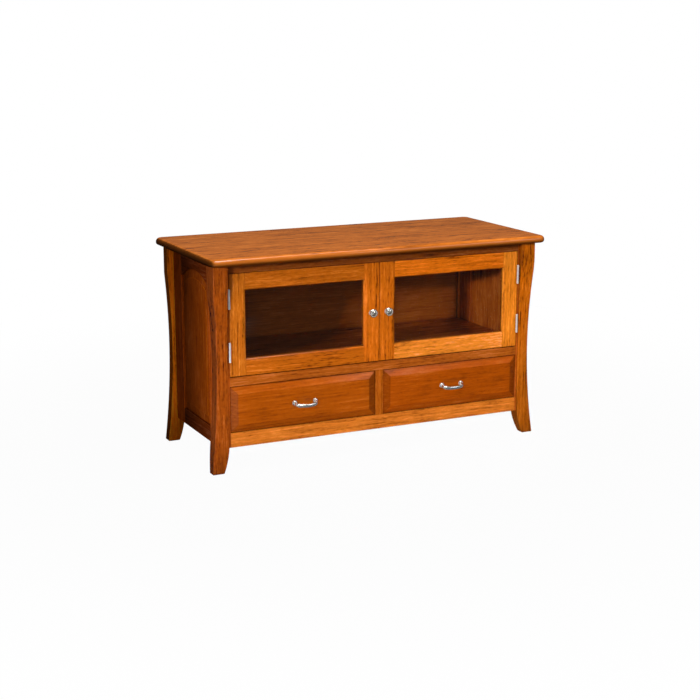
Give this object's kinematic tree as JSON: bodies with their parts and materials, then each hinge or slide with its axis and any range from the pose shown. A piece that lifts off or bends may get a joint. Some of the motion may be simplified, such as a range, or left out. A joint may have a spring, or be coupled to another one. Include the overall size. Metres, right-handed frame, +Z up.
{
  "type": "tv stand",
  "caption": "Low wooden media stand with glazed framed doors over drawers, curved sabre legs, arched raised side panels and an overhanging top.",
  "frame": {"origin": "centre of the plan on the floor", "axes": "+X along the length to the right as seen from the front, front faces -Y, +Z up"},
  "size_m": [1.258, 0.566, 0.726],
  "materials": {
    "cherry": "satin lacquer",
    "inner_wood": "sealed",
    "back_ply": "sealed",
    "drawer_maple": "clear lacquer",
    "clear_glass": "polished",
    "satin_nickel": "satin",
    "zinc_steel": "zinc plated",
    "dark_plastic": "matte"
  },
  "bodies": {
    "carcass": {"back_leg_left": "cherry", "back_leg_right": "cherry", "back_panel": "back_ply", "back_rails": "cherry", "cable_grommet": "dark_plastic", "deck_board": "cherry", "door_catches": "dark_plastic", "drawer_mullion": "cherry", "drawer_partition": "inner_wood", "front_bottom_rail": "cherry", "front_leg_left": "cherry", "front_leg_right": "cherry", "front_middle_rail": "cherry", "front_stiles": "cherry", "front_top_rail": "cherry", "hinge_frame_leaves": "satin_nickel", "hinge_frame_screws": "satin_nickel", "hinge_pins": "satin_nickel", "side_panel_left": "cherry", "side_panel_right": "cherry", "side_rails_left": "cherry", "side_rails_right": "cherry", "side_stiles_left": "cherry", "side_stiles_right": "cherry", "slide_outer_members": "zinc_steel", "slide_packers": "inner_wood", "top_board": "cherry", "top_cleats": "inner_wood", "top_screws": "zinc_steel"},
    "door_left": {"door_left_glass": "clear_glass", "door_left_glass_stops": "cherry", "door_left_hinge_leaves": "satin_nickel", "door_left_hinge_screws": "satin_nickel", "door_left_hinge_stile": "cherry", "door_left_knob": "satin_nickel", "door_left_lock_stile": "cherry", "door_left_rails": "cherry", "door_left_strike": "zinc_steel"},
    "door_right": {"door_right_glass": "clear_glass", "door_right_glass_stops": "cherry", "door_right_hinge_leaves": "satin_nickel", "door_right_hinge_screws": "satin_nickel", "door_right_hinge_stile": "cherry", "door_right_knob": "satin_nickel", "door_right_lock_stile": "cherry", "door_right_rails": "cherry", "door_right_strike": "zinc_steel"},
    "drawer_left": {"drawer_left_bottom": "drawer_maple", "drawer_left_box": "drawer_maple", "drawer_left_front": "cherry", "drawer_left_pull": "satin_nickel", "drawer_left_slide_inner": "zinc_steel"},
    "drawer_right": {"drawer_right_bottom": "drawer_maple", "drawer_right_box": "drawer_maple", "drawer_right_front": "cherry", "drawer_right_pull": "satin_nickel", "drawer_right_slide_inner": "zinc_steel"},
    "slide_middle_left": {"drawer_left_slide_middle": "zinc_steel"},
    "slide_middle_right": {"drawer_right_slide_middle": "zinc_steel"}
  },
  "joints": [
    {"name": "door_left_swing", "type": "hinge", "parent": "carcass", "child": "door_left", "pos_m": [-0.5475, -0.2275, 0.49625], "axis": [0, 0, -1], "range_deg": [0, 105]},
    {"name": "door_right_swing", "type": "hinge", "parent": "carcass", "child": "door_right", "pos_m": [0.5475, -0.2275, 0.49625], "axis": [0, 0, 1], "range_deg": [0, 105]},
    {"name": "drawer_left_travel", "type": "slide", "parent": "carcass", "child": "drawer_left", "axis": [0, -1, 0], "range_m": [0, 0.38]},
    {"name": "drawer_right_travel", "type": "slide", "parent": "carcass", "child": "drawer_right", "axis": [0, -1, 0], "range_m": [0, 0.38]},
    {"name": "slide_middle_left_travel", "type": "slide", "parent": "carcass", "child": "slide_middle_left", "axis": [0, -1, 0], "range_m": [0, 0.19]},
    {"name": "slide_middle_right_travel", "type": "slide", "parent": "carcass", "child": "slide_middle_right", "axis": [0, -1, 0], "range_m": [0, 0.19]}
  ],
  "couplings": [
    {"joint": "slide_middle_left_travel", "follows": "drawer_left_travel", "ratio": 0.5},
    {"joint": "slide_middle_right_travel", "follows": "drawer_right_travel", "ratio": 0.5}
  ]
}
